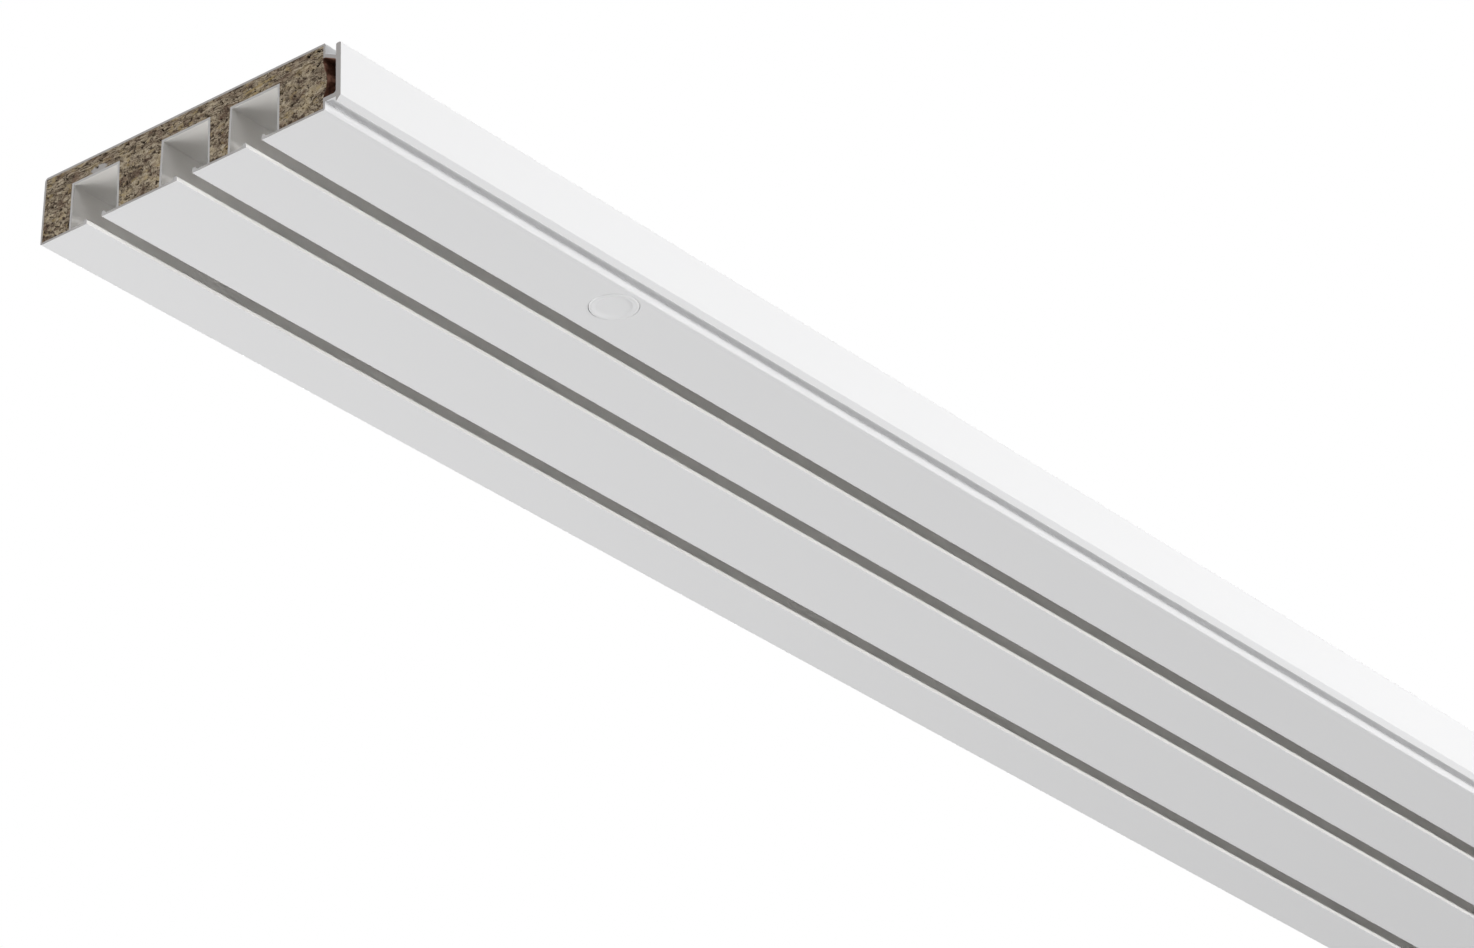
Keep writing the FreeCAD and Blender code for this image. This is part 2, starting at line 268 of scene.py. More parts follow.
class Finishes(bpy.types.PropertyGroup):
    """Colours of the track and of the studio, in linear light."""

    plastic: colour("Plastic", "White plastic of the jacket", 0.86, 0.86, 0.865)
    # Lining: the jacket's plastic painted paler inside the channels, painted light
    lining: colour("Lining", "The plastic inside the channels", 0.97, 0.96, 0.94)
    # Slot: painted shade, the white made duller on the lips' faces inside the slots
    slot: colour("Slot", "Lips inside the slots, dulled by dust", 0.84, 0.83, 0.815)
    # Dust and painted shade near the channels' ends and along their roofs' rear corners
    sawdust_and_shade: colour("Sawdust", "Dust of the saw in the channels", 0.40, 0.37, 0.33)
    # Cut lining and cut plastic: painted shade, the sawn ends darker than the faces
    shaded_lining_cut: colour("Cut lining", "Sawn ends of the channels' linings", 0.54, 0.53, 0.525)
    shaded_plastic_cut: colour("Cut plastic", "The jacket's sawn ends", 0.44, 0.42, 0.41)
    cap: colour("Cap", "White plastic of the caps", 0.875, 0.875, 0.88)
    # Chip void: gaps between the chips, and painted shade in the torn pits
    chip_void_and_pit_shade: colour("Chip void", "Gaps between the chips", 0.035, 0.022, 0.014)
    chip_dark: colour("Dark chip", "Darkest chips", 0.085, 0.062, 0.041)
    chip_mid: colour("Middle chip", "Most of the chips", 0.255, 0.204, 0.142)
    chip_pale: colour("Pale chip", "Palest chips", 0.54, 0.46, 0.345)
    chip_ochre: colour("Ochre chip", "Yellow chips", 0.40, 0.30, 0.14)
    chip_red: colour("Red chip", "Reddish chips of bark", 0.17, 0.105, 0.072)
    # Painted shade: a dark reddish brown on the pocket's plastic and on the core's long faces, its bare
    # front edge among them
    shade_brown: colour("Film", "Glue on the core's sides and in the front pocket", 0.21, 0.105, 0.07)
    floor: colour("Floor", "Studio floor", 0.86, 0.86, 0.86)
    floor_glow: colour("Floor glow", "What the camera sees the floor add to that", 0.5, 0.5, 0.5)


class StageSettings(bpy.types.PropertyGroup):
    """Floor, camera and the level of the studio's light."""

    floor_drop: length("Floor drop", "Ceiling face down to the floor", 4500.0)
    camera_place: place("Camera", "Where the camera stands", -1.3991, -0.7797, -0.7051)
    camera_aim: place(
        "Aim", "Point of the underside in the middle of the picture", -0.4141, -0.0065, -0.0171
    )
    camera_roll: FloatProperty(
        name="Roll", description="Lean of the camera about its view", default=math.radians(-1.70),
        subtype="ANGLE",
    )
    sky: level("Sky", "Level of the even light", 0.17)
    key_place: place("Key place", "Soft box in front of the track", 0.5, -2.3, -0.68)
    key_side: length("Key side", "Side of the soft box in front", 700.0)
    key_power: level("Key power", "Watts of the soft box in front", 47.4)
    high_place: place("High place", "Soft box in front and above", 0.5, -2.0, 1.4)
    high_side: length("High side", "Side of the soft box in front and above", 1200.0)
    high_power: level("High power", "Watts of the soft box in front and above", 8.0)
    under_place: place("Under place", "Soft box below and behind", -1.0, 0.85, -0.7)
    under_side: length("Under side", "Side of the soft box below", 800.0)
    under_power: level("Under power", "Watts of the soft box below", 10.8)
    back_place: place("Back place", "Soft box behind and above the far end", 1.4, 1.9, 1.8)
    back_side: length("Back side", "Side of the soft box behind", 1500.0)
    back_power: level("Back power", "Watts of the soft box behind", 60.0)
    top_place: place("Top place", "Soft box above the near end", -1.9, -0.6, 1.3)
    top_side: length("Top side", "Side of the soft box above", 1200.0)
    top_power: level("Top power", "Watts of the soft box above", 17.5)


class Socket:
    """A shader socket in a Python expression: arithmetic on it adds Math nodes."""

    def __init__(self, sheet, socket):
        self.sheet = sheet
        self.socket = socket

    def __add__(self, other):
        return self.sheet.math("ADD", self, other)

    def __sub__(self, other):
        return self.sheet.math("SUBTRACT", self, other)

    def __rsub__(self, other):
        return self.sheet.math("SUBTRACT", other, self)

    def __mul__(self, other):
        return self.sheet.math("MULTIPLY", self, other)

    def __lt__(self, other):
        return self.sheet.math("LESS_THAN", self, other)

    def __gt__(self, other):
        return self.sheet.math("GREATER_THAN", self, other)

    def __abs__(self):
        return self.sheet.math("ABSOLUTE", self)

    __radd__ = __add__
    __rmul__ = __mul__


class NodeSheet:
    """The node tree of a material or of the world, with the few shorthands that the finishes use."""

    def __init__(self, owner):
        owner.use_nodes = True
        self.tree = owner.node_tree
        self.tree.nodes.clear()

    def node(self, kind, settings, inputs, output=0):
        """Adds a node: its settings first, then values or links of its sockets; gives one output."""
        made = self.tree.nodes.new(kind)
        for name, value in settings.items():
            if name == "stops":
                self.set_stops(made.color_ramp, value)
            else:
                setattr(made, name, value)
        for key, value in inputs.items():
            if isinstance(value, Socket):
                self.tree.links.new(value.socket, made.inputs[key])
            else:
                made.inputs[key].default_value = value
        return Socket(self, made.outputs[output]) if made.outputs else None

    @staticmethod
    def set_stops(ramp, stops):
        """Gives a colour ramp its stops, each a position and a colour."""
        while len(ramp.elements) < len(stops):
            ramp.elements.new(1.0)
        for element, (position, tint) in zip(ramp.elements, stops):
            element.position = position
            element.color = opaque(tint)

    def math(self, operation, first, second=0.0):
        """A Math node on one or two values."""
        return self.node("ShaderNodeMath", {"operation": operation}, {0: first, 1: second})

    def fold(self, operation, values):
        """One value from several, two at a time through Math nodes."""
        return reduce(lambda first, second: self.math(operation, first, second), values)

    def place(self):
        """Object coordinates, which are the row frame's metres."""
        return self.node("ShaderNodeTexCoord", {}, {}, "Object")

    def part(self, vector, axis):
        """One component of a vector."""
        return self.node("ShaderNodeSeparateXYZ", {}, {0: vector}, axis)

    def vector(self, operation, first, second):
        """Vector Math on two vectors."""
        settings = {"operation": operation}
        return self.node("ShaderNodeVectorMath", settings, {0: first, 1: second})

    def steps(self, spot, size):
        """A place counted in steps of so many millimetres along each axis."""
        return self.vector("DIVIDE", spot, [part * MM for part in size])

    def noise(self, vector, detail=2.0, output=0):
        """Soft noise, one wave to each unit of the vector."""
        inputs = {"Vector": vector, "Scale": 1.0, "Detail": detail}
        return self.node("ShaderNodeTexNoise", {}, inputs, output)

    def cells(self, vector):
        """A random colour for each cell of about one unit of the vector."""
        return self.node("ShaderNodeTexVoronoi", {}, {"Vector": vector, "Scale": 1.0}, "Color")

    def shift(self, spot, size, reach):
        """How far noise of one wave size moves a place to and fro, so many metres in all."""
        sway = self.noise(self.steps(spot, size), output="Color")
        centred = self.vector("SUBTRACT", sway, (NOISE_MIDDLE, NOISE_MIDDLE, NOISE_MIDDLE))
        return self.vector("MULTIPLY", centred, (reach, reach, reach))

    def ease(self, value, low, high):
        """0 below low, 1 above high and a smooth step between them."""
        settings = {"interpolation_type": "SMOOTHSTEP"}
        return self.node(
            "ShaderNodeMapRange", settings, {"Value": value, "From Min": low, "From Max": high}
        )

    def mix(self, factor, first, second):
        """Mix of two colours."""
        inputs = {MIX_FACTOR: factor, MIX_FIRST: opaque(first), MIX_SECOND: opaque(second)}
        return self.node("ShaderNodeMix", {"data_type": "RGBA"}, inputs, MIX_RESULT)

    def bump(self, height, distance, strength):
        """Normal of a height in metres."""
        inputs = {"Height": height, "Distance": distance, "Strength": strength}
        return self.node("ShaderNodeBump", {}, inputs)

    def surface(self, inputs):
        """The finished material: one Principled shader with these inputs."""
        shader = self.node("ShaderNodeBsdfPrincipled", {}, inputs)
        self.node("ShaderNodeOutputMaterial", {}, {"Surface": shader})


def opaque(tint):
    """A colour with its alpha, where it is not a socket."""
    return tint if isinstance(tint, Socket) else (*tint, 1.0)


def shade(tint, share):
    """A colour made darker or paler by a share."""
    return [share * part for part in tint]


def new_finish(name):
    """A new material and its node sheet."""
    material = bpy.data.materials.new(name)
    return material, NodeSheet(material)


def in_row(x, point):
    """A section point (across, up) as a point of the row frame."""
    return Vector((x, FRONT + point[0], UNDERSIDE + point[1]))


def channel_middles(section):
    """Distances of the three channels' middles from the front face."""
    return section.front_channel, section.middle_channel, BOARD_WIDTH - section.rear_channel


def end_depth(sheet, spot):
    """Distance of a point from the nearer sawn end."""
    return FAR_END - abs(sheet.part(spot, "X"))


# White plastic: what its clouds and its sawn ends do to its tint, roughness and relief
CLOUD_SHADE = 0.985
CLOUD_ROUGHNESS = 0.1
CUT_DEPTH = 0.02 * MM
CUT_SHADE = 0.9
CUT_ROUGHNESS = 0.2
GRAIN_HEIGHT = 0.25
SCRATCH_HEIGHT = 4
PLASTIC_RELIEF = 0.006 * MM
PLASTIC_BUMP = 0.5
PLASTIC_IOR = 1.5


def plastic_surface(sheet, tints, cut_tint, roughness):
    """Plastic clouded between two tints, with faint lines from the die, scratched where it was sawn."""
    spot = sheet.place()
    die_lines = sheet.noise(sheet.steps(spot, DIE_LINES))
    clouds = sheet.noise(sheet.steps(spot, CLOUDS), FINE)
    grain = sheet.noise(sheet.steps(spot, PLASTIC_GRAIN))
    scratches = sheet.noise(sheet.steps(spot, SCRATCHES))
    cut = end_depth(sheet, spot) < CUT_DEPTH
    moulded = sheet.mix(clouds, *tints)
    # For the jacket and the linings cut_tint is painted shade on the sawn ends
    sawn = sheet.mix(scratches, shade(cut_tint, CUT_SHADE), cut_tint)
    height = die_lines * (1 - cut) + grain * GRAIN_HEIGHT + scratches * cut * SCRATCH_HEIGHT
    sheet.surface({
        "Base Color": sheet.mix(cut, moulded, sawn),
        "Roughness": roughness + clouds * CLOUD_ROUGHNESS + cut * CUT_ROUGHNESS,
        "IOR": PLASTIC_IOR,
        "Normal": sheet.bump(height, PLASTIC_RELIEF, PLASTIC_BUMP),
    })


def plastic_finish(name, tint, cut_tint, roughness):
    """Clean white plastic."""
    material, sheet = new_finish(name)
    plastic_surface(sheet, (shade(tint, CLOUD_SHADE), tint), cut_tint, roughness)
    return material


# Dust and painted shade in the channels: how thick they lie, and the depths and distances over which
# they set in
MOUTH_DUST_AND_SHADE = 0.35
MOUTH_DEPTHS = (16 * MM, 4 * MM)
CORNER_DUST_AND_SHADE = 0.8
CORNER_DEPTHS = (4 * MM, 26 * MM)
CORNER_DISTANCES = (3.2 * MM, 0.8 * MM)
CRUMB_REACH = 2 * MM


def corner_distance(sheet, spot, section):
    """Distance of a point on a lining from the corner between a channel's roof and its rear wall."""
    half_roof = (section.channel_width - section.channel_lean) / 2
    distances = []
    for middle in channel_middles(section):
        corner = in_row(0, (middle + half_roof, section.channel_roof))
        offset = sheet.vector("SUBTRACT", spot, corner)
        distances.append(abs(sheet.part(offset, "Y")) + abs(sheet.part(offset, "Z")))
    return sheet.fold("MINIMUM", distances)


def lining_finish(name, section, finishes):
    """Plastic painted paler than the jacket, painted light, with dust and painted shade at the sawn
    ends and, deeper in, along the roof's rear corner.
    """
    material, sheet = new_finish(name)
    spot = sheet.place()
    depth = end_depth(sheet, spot)
    crumbs = sheet.noise(sheet.steps(spot, CRUMBS))
    ragged = corner_distance(sheet, spot, section) + crumbs * CRUMB_REACH
    # Darker near the sawn ends and along the roof's rear corner: dust and painted shade
    mouth = MOUTH_DUST_AND_SHADE * sheet.ease(depth, *MOUTH_DEPTHS)
    corner = CORNER_DUST_AND_SHADE * sheet.ease(ragged, *CORNER_DISTANCES) * sheet.ease(depth, *CORNER_DEPTHS)
    dusty_and_shaded = sheet.mix(sheet.math("MAXIMUM", mouth, corner), finishes.lining, finishes.sawdust_and_shade)
    plastic_surface(sheet, (dusty_and_shaded, dusty_and_shaded), finishes.shaded_lining_cut, SATIN)
    return material


# Painted shade in the front pocket: how its smears vary its tint, and its specks its roughness and
# relief
SMEAR_SHADES = (0.5, 1.5)
SHADE_ROUGHNESS = 0.55
SPECK_ROUGHNESS = 0.3
SPECK_HEIGHT = 0.4
SHADE_RELIEF = 0.15 * MM


def painted_shade_finish(name, tint):
    """Painted shade: a dark reddish brown, uneven and dull, on the front pocket's plastic and the
    core's bare edge.
    """
    material, sheet = new_finish(name)
    spot = sheet.place()
    smears = sheet.noise(sheet.steps(spot, SHADE_SMEARS), FINE)
    specks = sheet.noise(sheet.steps(spot, SHADE_SPECKS))
    sheet.surface({
        "Base Color": sheet.mix(smears, *(shade(tint, share) for share in SMEAR_SHADES)),
        "Roughness": SHADE_ROUGHNESS + specks * SPECK_ROUGHNESS,
        "Specular IOR Level": DULL_SPECULAR,
        "Normal": sheet.bump(smears + specks * SPECK_HEIGHT, SHADE_RELIEF, DULL_BUMP),
    })
    return material


# Chipboard: how far the chips' outlines fray and sway, and where the strip over the channels sets in
FRAY_REACH = 0.7 * MM
SWAY_REACH = 1.6 * MM
STRIP_HEIGHTS = (-6.0 * MM, -4.0 * MM)

# Share of each pattern in the chipboard's tone, and what sets the level of the sum
CHIP_SHARE = 0.36
FLAKE_SHARE = 0.34
PATCH_SHARE = 0.9
BLOCKY_LEVEL = -0.3
STREAK_SHARE = 2.9
STREAK_LEVEL = -0.95
STRIP_SHARE = 0.7
GRAIN_SHARE = 0.8

# Tinted chips: which kinds and patches take a tint, and how much of it
OCHRE_KINDS = 0.94
RED_KINDS = 0.07
ODD_CHIP_TINT = 0.4
OCHRE_PATCHES = (0.5, 0.7)
OCHRE_PATCH_TINT = 0.3
RED_PATCHES = (0.5, 0.3)
RED_PATCH_TINT = 0.4

# Marks on the chipboard: the long chip and the smear fade at their rims, gaps are dark, and painted
# shade darkens the torn pits by their depth
LONG_CHIP_TINT = 0.85
LONG_CHIP_TAPER = 0.7
SMEAR_TINT = 0.95
SMEAR_RIM = (0.56, 0.4)
GAP_LEVELS = (0.58, 0.65)
PIT_SHADE_DEPTHS = (0.15 * MM, 0.6 * MM)

# Roughness and relief of the chipboard
WOOD_ROUGHNESS = 0.8
GRAIN_ROUGHNESS = 0.15
STREAK_HEIGHT = 0.5
WOOD_RELIEF = 0.08 * MM


class ChipPatterns:
    """The patterns that the chipboard's colour, roughness and relief share."""

    def __init__(self, sheet):
        self.spot = sheet.place()
        fray = sheet.shift(self.spot, CHIP_FRAY, FRAY_REACH)
        sway = sheet.shift(self.spot, CHIP_SWAY, SWAY_REACH)
        self.frayed = sheet.vector("ADD", self.spot, fray)
        laid = sheet.vector("ADD", self.frayed, sway)
        self.chips = sheet.cells(sheet.steps(laid, CHIPS))
        self.flakes = sheet.cells(sheet.steps(laid, FLAKES))
        self.streaks = sheet.noise(sheet.steps(laid, STREAKS), FINE)
        self.grain = sheet.noise(sheet.steps(self.spot, WOOD_GRAIN), FINE)
        self.gaps = sheet.noise(sheet.steps(laid, CHIP_GAPS), FINE)
        self.patches = sheet.noise(sheet.steps(laid, PATCHES))


def chip_tone(sheet, patterns):
    """Tone of the chipboard from dark to pale: blocky chips, and streaks in the strip."""
    strip = sheet.ease(sheet.part(patterns.spot, "Z"), *STRIP_HEIGHTS)
    chips = CHIP_SHARE * sheet.part(patterns.chips, "X")
    flakes = FLAKE_SHARE * sheet.part(patterns.flakes, "X")
    blocky = chips + flakes + PATCH_SHARE * patterns.patches + BLOCKY_LEVEL
    streaky = STREAK_SHARE * patterns.streaks + STREAK_LEVEL
    grain = GRAIN_SHARE * (patterns.grain - NOISE_MIDDLE)
    return blocky + strip * (streaky - blocky) * STRIP_SHARE + grain


def smear_mask(sheet, spot, board):
    """1 on the smear of plastic that the saw dragged over the chips of the near end."""
    middle = in_row(NEAR_END, (board.smear_across, board.smear_up))
    size = board.smear_width, board.smear_width, board.smear_height
    offset = sheet.vector("DIVIDE", sheet.vector("SUBTRACT", spot, middle), size)
    reach = sheet.node("ShaderNodeVectorMath", {"operation": "LENGTH"}, {0: offset}, "Value")
    return sheet.ease(reach, *SMEAR_RIM)


def long_chip_mask(sheet, spot, board):
    """1 along the long ochre chip over the front channel."""
    middle = in_row(NEAR_END, (board.long_chip_across, board.long_chip_up))
    offset = sheet.vector("SUBTRACT", spot, middle)
    half = board.long_chip_width / 2
    across = sheet.part(offset, "Y")
    up = sheet.part(offset, "Z") + across * (board.long_chip_rise / half)
    thick = sheet.ease(abs(up), board.long_chip_height, 0)
    return thick * sheet.ease(abs(across), half, LONG_CHIP_TAPER * half)


def chip_colour(sheet, patterns, finishes, board):
    """Browns of the chips, some ochre or red, with dark gaps, painted shade in the torn pits, one long
    chip and a smear of plastic.
    """
    browns = sheet.node("ShaderNodeValToRGB", {"stops": (
        (0.12, finishes.chip_void_and_pit_shade),
        (0.30, finishes.chip_dark),
        (0.50, finishes.chip_mid),
        (0.85, finishes.chip_pale),
    )}, {0: chip_tone(sheet, patterns)})
    kind = sheet.part(patterns.chips, "Y")
    ochre_patch = sheet.ease(patterns.patches, *OCHRE_PATCHES) * OCHRE_PATCH_TINT
    red_patch = sheet.ease(patterns.patches, *RED_PATCHES) * RED_PATCH_TINT
    long_chip = long_chip_mask(sheet, patterns.frayed, board)
    smear = smear_mask(sheet, patterns.frayed, board)
    layers = (
        ((kind > OCHRE_KINDS) * ODD_CHIP_TINT + ochre_patch, finishes.chip_ochre),
        ((kind < RED_KINDS) * ODD_CHIP_TINT + red_patch, finishes.chip_red),
        (long_chip * LONG_CHIP_TINT, finishes.chip_ochre),
        (sheet.ease(patterns.gaps, *GAP_LEVELS), finishes.chip_void_and_pit_shade),
        # The smear takes the sawn ends' painted shade
        (smear * SMEAR_TINT, finishes.shaded_plastic_cut),
        # Painted shade: the deeper a torn pit lies, the darker
        (sheet.ease(end_depth(sheet, patterns.spot), *PIT_SHADE_DEPTHS), finishes.chip_void_and_pit_shade),
    )
    for share, tint in layers:
        browns = sheet.mix(share, browns, tint)
    return browns


def chipboard_finish(name, finishes, board):
    """Sawn chipboard: chips of many browns, long and thin in the strip over the channels."""
    material, sheet = new_finish(name)
    patterns = ChipPatterns(sheet)
    height = patterns.grain + STREAK_HEIGHT * patterns.streaks
    sheet.surface({
        "Base Color": chip_colour(sheet, patterns, finishes, board),
        "Roughness": WOOD_ROUGHNESS + patterns.grain * GRAIN_ROUGHNESS,
        "Specular IOR Level": DULL_SPECULAR,
        "Normal": sheet.bump(height, WOOD_RELIEF, DULL_BUMP),
    })
    return material


def seen_directly(sheet):
    """1 on rays from the camera and on reflections, 0 on rays that light the object."""
    rays = [sheet.node("ShaderNodeLightPath", {}, {}, ray) for ray in SEEING_RAYS]
    return sheet.fold("MAXIMUM", rays)


# Studio floor: how its clouds shade it, and how dull it is
FLOOR_SHADE = 0.98
FLOOR_ROUGHNESS = 0.8
FLOOR_SPECULAR = 0.1


def floor_finish(name, tint, glow):
    """Pale studio floor with a breath of unevenness; its glow shows but lights nothing."""
    material, sheet = new_finish(name)
    clouds = sheet.noise(sheet.steps(sheet.place(), FLOOR_CLOUDS))
    sheet.surface({
        "Base Color": sheet.mix(clouds, shade(tint, FLOOR_SHADE), tint),
        "Roughness": FLOOR_ROUGHNESS,
        "Specular IOR Level": FLOOR_SPECULAR,
        "Emission Color": sheet.mix(seen_directly(sheet), BLACK, glow),
        "Emission Strength": 1.0,
    })
    return material


def rounded(corners):
    """Closed outline through corners (across, up, radius), each radius drawn as an arc.

    A point just outside each end of an arc keeps the flat beside it flat when it is shaded.
    """
    outline = []
    count = len(corners)
    for index, (across, up, radius) in enumerate(corners):
        corner = Vector((across, up))
        if radius == 0:
            outline.append(corner)
            continue
        before = (Vector(corners[index - 1][:2]) - corner).normalized()
        after = (Vector(corners[(index + 1) % count][:2]) - corner).normalized()
        half = before.angle(after) / 2
        reach = radius / math.tan(half)
        centre = corner + (before + after).normalized() * (radius / math.sin(half))
        spoke = corner + before * reach - centre
        sweep = (math.pi - 2 * half) * (1 if before.cross(after) < 0 else -1)
        outline.append(corner + before * (reach + SUPPORT))
        for step in range(ARC_STEPS + 1):
            angle = sweep * step / ARC_STEPS
            outline.append(centre + Matrix.Rotation(angle, 2) @ spoke)
        outline.append(corner + after * (reach + SUPPORT))
    return outline


def lip_and_channel(section, middle):
    """The outline's way up round one lip, through a channel and down round the other lip."""
    half_slot = section.slot_width / 2
    half_channel = section.channel_width / 2
    lean = section.channel_lean / 2
    soft = section.inner_radius
    lip = (
        (half_slot, 0, soft),
        (half_slot, section.bead_height, section.bead_radius),
        (half_slot + section.bead_width, section.bead_height, section.bead_radius),
        (half_slot + section.bead_width, section.skin, soft),
    )
    front_wall = (half_channel, section.skin, soft), (half_channel, section.channel_roof, soft)
    rear_wall = (
        (half_channel + lean, section.skin, soft),
        (half_channel - lean, section.channel_roof, soft),
    )
    front = [(middle - reach, up, radius) for reach, up, radius in lip + front_wall]
    rear = [(middle + reach, up, radius) for reach, up, radius in reversed(lip + rear_wall)]
    return front + rear


def flange_gap(section):
    """Front face to the back of the flange."""
    return FRONT - JACKET_LOW.y - section.flange_thickness


def window(section):
    """Lower and upper edge of the window in the front skin, between the webs."""
    return section.lower_web + section.lower_web_thickness, section.upper_web


def jacket_outside(section):
    """Outer outline of the jacket: underside with its channels, rear, ceiling face and flange."""
    soft = section.inner_radius
    gap = flange_gap(section)
    face = -gap - section.flange_thickness
    web_top = section.upper_web + section.upper_web_thickness
    corners = [(0, 0, section.edge_radius)]
    for middle in channel_middles(section):
        corners += lip_and_channel(section, middle)
    corners += [
        (BOARD_WIDTH + section.rear_lean, 0, section.edge_radius),
        (BOARD_WIDTH, BOARD_HEIGHT, section.rear_top_radius),
        (0, BOARD_HEIGHT, section.edge_radius),
        (0, web_top, soft),
        (-gap, web_top - section.upper_web_drop, soft),
        (-gap, section.flange_top, section.flange_top_radius),
        (face, section.flange_top, section.flange_top_radius),
        (face, section.flange_bottom + section.flange_bevel, soft),
        (-gap - section.flange_tip, section.flange_bottom, soft / 2),
        (-gap, section.flange_bottom, soft / 2),
        (-gap, section.lower_web, soft),
        (0, section.lower_web, soft),
    ]
    return rounded(corners)


def core_underside(section):
    """The core's corners from its lower front edge round the grooves to its upper rear edge."""
    half_groove = section.channel_width / 2 + section.lining
    groove_top = section.channel_roof + section.lining
    lean = section.channel_lean / 2
    corners = [(section.skin, section.skin)]
    for middle in channel_middles(section):
        corners += [
            (middle - half_groove, section.skin),
            (middle - half_groove, groove_top),
            (middle + half_groove - lean, groove_top),
            (middle + half_groove + lean, section.skin),
        ]
    corners += [
        (BOARD_WIDTH + section.rear_lean - section.skin, section.skin),
        (BOARD_WIDTH - section.skin, BOARD_HEIGHT - section.skin),
    ]
    return corners


def jacket_inside(section):
    """Inner outline of the jacket: the core's space and the pocket behind the flange."""
    gap = flange_gap(section)
    low, high = window(section)
    corners = [(across, up, 0) for across, up in core_underside(section)]
    corners += [
        (section.skin, BOARD_HEIGHT - section.skin, 0),
        (section.skin, high, 0),
        (0, high, 0),
        (-gap, high - section.upper_web_drop, section.pocket_radius),
        (-gap, low, section.pocket_radius),
        (section.skin, low, 0),
    ]
    return rounded(corners)


def jacket_zone(section, polygon):
    """Which finish one of the jacket's faces takes: outside, lining (painted paler, painted light),
    slot (painted shade) or the front pocket (painted shade).
    """
    across, up = polygon.center.y - FRONT, polygon.center.z - UNDERSIDE
    at_end = abs(polygon.normal.x) > END_FACING
    reach = section.channel_width / 2 + section.lining
    roof = section.channel_roof + section.lining
    aside = min(abs(across - middle) for middle in channel_middles(section))
    bead = section.slot_width / 2 + section.bead_width
    # The lips' faces inside the slots take painted shade
    if not at_end and ZONE_MARGIN < up < section.bead_height + ZONE_MARGIN and aside < bead:
        return SLOT_SHADE
    if ZONE_MARGIN < up < roof and aside < reach:
        return LINING
    if at_end:
        return OUTSIDE
    gap = flange_gap(section)
    low, high = window(section)
    web = high + section.upper_web_drop * across / gap
    # The front pocket's faces take painted shade
    in_pocket = low - ZONE_MARGIN < up < web + ZONE_MARGIN and across > -gap - ZONE_MARGIN
    return POCKET if in_pocket and across < section.skin else OUTSIDE


def ring_at(mesh, x, outline):
    """Vertices of a section outline at one place along the track."""
    return [mesh.verts.new(in_row(x, point)) for point in outline]


def tube_walls(mesh, rings, slot=0):
    """Walls between rings of vertices that follow each other along the track."""
    for ring, following in zip(rings, rings[1:]):
        count = len(ring)
        for index in range(count):
            beside = (index + 1) % count
            wall = mesh.faces.new((ring[index], ring[beside], following[beside], following[index]))
            wall.material_index = slot


def close_end(mesh, outlines, ring):
    """Fills one end of a tube between its outer and its inner outline, with no flat triangles."""
    flat = [[(*point, 0) for point in outline] for outline in outlines]
    triangles = geometry.tessellate_polygon(flat)
    faces = [mesh.faces.new([ring[corner] for corner in triangle]) for triangle in triangles]
    inner = [edge for edge in mesh.edges if all(face in faces for face in edge.link_faces)]
    bmesh.ops.beautify_fill(mesh, faces=faces, edges=inner)


def cylinder(mesh, x, y, low, high, radius):
    """Adds a closed cylinder on an upright axis."""
    middle = Matrix.Translation((x, y, (low + high) / 2))
    bmesh.ops.create_cone(
        mesh, cap_ends=True, segments=HOLE_STEPS, radius1=radius, radius2=radius,
        depth=high - low, matrix=middle,
    )


def object_from(mesh, name):
    """A new object that holds a finished bmesh, all its faces turned outwards."""
    bmesh.ops.recalc_face_normals(mesh, faces=mesh.faces)
    data = bpy.data.meshes.new(name)
    mesh.to_mesh(data)
    mesh.free()
    piece = bpy.data.objects.new(name, data)
    bpy.context.scene.collection.objects.link(piece)
    return piece


def drill(piece, cutters):
    """Cuts a bmesh of closed cylinders out of a piece."""
    tool = object_from(cutters, f"{piece.name}_cutter")
    cut = piece.modifiers.new("holes", "BOOLEAN")
    cut.operation = "DIFFERENCE"
    cut.solver = "EXACT"
    cut.object = tool
    graph = bpy.context.evaluated_depsgraph_get()
    solid = piece.data
    piece.data = bpy.data.meshes.new_from_object(piece.evaluated_get(graph))
    piece.modifiers.clear()
    bpy.data.meshes.remove(solid)
    bpy.data.meshes.remove(tool.data)


def finish_piece(piece, materials, node):
    """Shades a piece, gives it its finishes and sets it in the place of its CAD node."""
    for polygon in piece.data.polygons:
        polygon.use_smooth = True
    piece.data.set_sharp_from_angle(angle=SHARP_ANGLE)
    for index, material in enumerate(materials):
        if index < len(piece.data.materials):
            piece.data.materials[index] = material
        else:
            piece.data.materials.append(material)
    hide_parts(node)
    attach(piece, BODY)


def cap_places():
    """Middle of each cap in plan."""
    boxes = [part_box(name) for name in CAP_NODES]
    return [((low.x + high.x) / 2, (low.y + high.y) / 2) for low, high in boxes]


